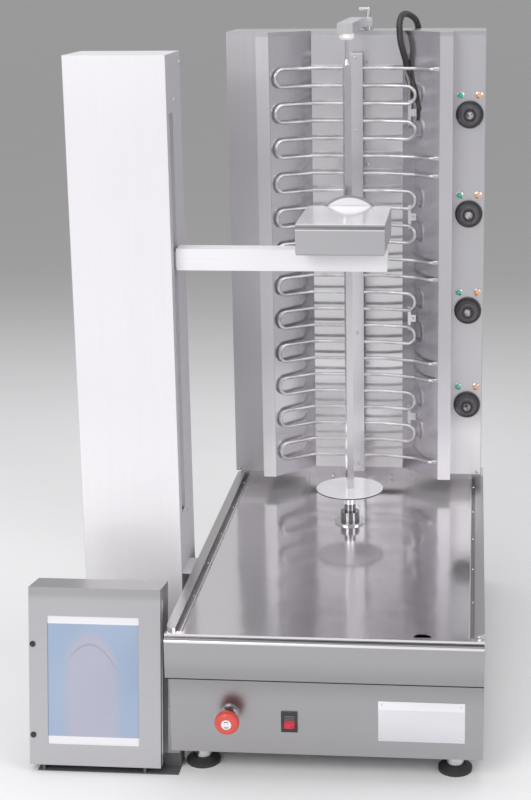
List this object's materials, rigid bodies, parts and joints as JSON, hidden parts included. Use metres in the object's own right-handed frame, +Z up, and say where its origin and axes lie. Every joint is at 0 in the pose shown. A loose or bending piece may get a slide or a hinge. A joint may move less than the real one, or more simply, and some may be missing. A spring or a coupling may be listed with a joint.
{
  "type": "electric_skewer_grill",
  "caption": "Electric skewer grill in stainless steel with a turning spit, a wall of tubular heaters, a drip drawer, a slicing arm on a tower and a tilted touch-panel control box",
  "frame": {"origin": "On the table under the middle of the machine's outline, cord left out of the measure", "axes": "+Z up; the drawer, the front controls and the touch panel face -Y; +X is the operator's right, where the burner knobs are"},
  "size_m": [0.745, 1.0029, 1.212],
  "materials": {
    "brushed_base": "brushed",
    "deck_steel": "polished",
    "spit_steel": "polished",
    "bright_steel": "bright",
    "wall_steel": "brushed",
    "reflector_steel": "bright",
    "tower_steel": "brushed",
    "head_steel": "brushed",
    "blade_steel": "ground",
    "box_steel": "brushed",
    "element_steel": "satin",
    "fastener_steel": "satin",
    "cast_aluminium": "machined",
    "motor_paint": "matte",
    "white_plastic": "matte",
    "knob_plastic": "matte",
    "lock_plastic": "gloss",
    "red_plastic": "gloss",
    "lamp_lens": "gloss",
    "panel_film": "satin",
    "foot_rubber": "matte",
    "cord_rubber": "matte"
  },
  "bodies": {
    "grill": {"base_body": "brushed_base", "base_floor": "brushed_base", "feet": "foot_rubber", "deck_tray": "deck_steel", "side_rails": "deck_steel", "screws": "fastener_steel", "drawer_runners": "fastener_steel", "gear_motor": "motor_paint", "hub_flange": "spit_steel", "bracket_post": "fastener_steel", "wall_casing": "wall_steel", "top_cap": "wall_steel", "reflector": "reflector_steel", "wall_posts": "bright_steel", "side_panel": "wall_steel", "control_panel": "wall_steel", "heating_elements": "element_steel", "element_straps": "bright_steel", "element_ferrules": "fastener_steel", "energy_regulators": "white_plastic", "pilot_lamps": "lamp_lens", "tower_shell": "tower_steel", "tower_plates": "motor_paint", "guide_rods": "spit_steel", "lift_motor": "motor_paint", "control_box": "box_steel", "box_bracket": "motor_paint", "estop_body": "fastener_steel", "rocker_bezel": "lock_plastic", "cord_gland": "knob_plastic", "cord_sheath": "cord_rubber", "cord_cores": "cord_rubber"},
    "drawer": {"drawer_front": "brushed_base", "drawer_pan": "deck_steel"},
    "spit": {"drive_hub": "spit_steel", "spit_bar": "spit_steel", "spit_disc": "spit_steel"},
    "top_arm": {"top_bracket": "bright_steel", "top_bush": "white_plastic"},
    "dial_1": {"knob_1": "knob_plastic"},
    "dial_2": {"knob_2": "knob_plastic"},
    "dial_3": {"knob_3": "knob_plastic"},
    "dial_4": {"knob_4": "knob_plastic"},
    "lift_screw": {"lead_screw": "fastener_steel"},
    "arm": {"carriage": "cast_aluminium", "arm_beam": "tower_steel", "slide_blocks": "cast_aluminium"},
    "head": {"head_base": "head_steel", "head_lid": "deck_steel", "head_rods": "spit_steel", "blade_motor": "motor_paint"},
    "cutter": {"blade": "blade_steel", "blade_spindle": "fastener_steel"},
    "door": {"box_door": "box_steel", "touch_panel": "panel_film"},
    "latch_low": {"lock_low": "lock_plastic"},
    "latch_high": {"lock_high": "lock_plastic"},
    "stop_stem": {"estop_plunger": "lock_plastic"},
    "stop_cap": {"estop_cap": "red_plastic"},
    "switch": {"rocker": "red_plastic"}
  },
  "joints": [
    {"name": "drawer_pull", "type": "slide", "parent": "grill", "child": "drawer", "axis": [0, -1, 0], "range_m": [0, 0.3]},
    {"name": "spit_turn", "type": "hinge", "parent": "grill", "child": "spit", "pos_m": [0.1175, 0.105, 0.6], "axis": [0, 0, 1], "continuous": true},
    {"name": "top_lift", "type": "slide", "parent": "grill", "child": "top_arm", "axis": [0, 0, 1], "range_m": [0, 0.012]},
    {"name": "dial_1_turn", "type": "hinge", "parent": "grill", "child": "dial_1", "pos_m": [0.3375, 0.3, 1.01], "axis": [0, 1, 0], "range_deg": [0, 270]},
    {"name": "dial_2_turn", "type": "hinge", "parent": "grill", "child": "dial_2", "pos_m": [0.3375, 0.3, 0.817], "axis": [0, 1, 0], "range_deg": [0, 270]},
    {"name": "dial_3_turn", "type": "hinge", "parent": "grill", "child": "dial_3", "pos_m": [0.3375, 0.3, 0.624], "axis": [0, 1, 0], "range_deg": [0, 270]},
    {"name": "dial_4_turn", "type": "hinge", "parent": "grill", "child": "dial_4", "pos_m": [0.3375, 0.3, 0.431], "axis": [0, 1, 0], "range_deg": [0, 270]},
    {"name": "screw_turn", "type": "hinge", "parent": "grill", "child": "lift_screw", "pos_m": [-0.2275, -0.11, 0.6], "axis": [0, 0, 1], "continuous": true},
    {"name": "arm_lift", "type": "slide", "parent": "grill", "child": "arm", "axis": [0, 0, 1], "range_m": [-0.425, 0.225]},
    {"name": "head_feed", "type": "slide", "parent": "arm", "child": "head", "axis": [0, 1, 0], "range_m": [-0.065, 0.045]},
    {"name": "blade_spin", "type": "hinge", "parent": "head", "child": "cutter", "pos_m": [0.13, -0.01, 0.838], "axis": [0, 1, 0], "continuous": true},
    {"name": "door_swing", "type": "hinge", "parent": "grill", "child": "door", "pos_m": [-0.1535, -0.41395, 0.01109], "axis": [0, 0.1564, 0.9877], "range_deg": [0, 90]},
    {"name": "lock_low_turn", "type": "hinge", "parent": "door", "child": "latch_low", "pos_m": [-0.366, -0.41818, 0.06238], "axis": [0, 0.9877, -0.1564], "range_deg": [0, 90]},
    {"name": "lock_high_turn", "type": "hinge", "parent": "door", "child": "latch_high", "pos_m": [-0.366, -0.3944, 0.21251], "axis": [0, 0.9877, -0.1564], "range_deg": [0, 90]},
    {"name": "stop_press", "type": "slide", "parent": "grill", "child": "stop_stem", "axis": [0, 1, 0], "range_m": [0, 0.005]},
    {"name": "stop_twist", "type": "hinge", "parent": "stop_stem", "child": "stop_cap", "pos_m": [-0.0395, -0.43, 0.107], "axis": [0, 1, 0], "range_deg": [0, 45]},
    {"name": "rocker_tilt", "type": "hinge", "parent": "grill", "child": "switch", "pos_m": [0.058, -0.407, 0.096], "axis": [1, 0, 0], "range_deg": [0, 16]}
  ],
  "couplings": [
    {"joint": "screw_turn", "follows": "arm_lift", "rad_per_m": 314.16}
  ]
}
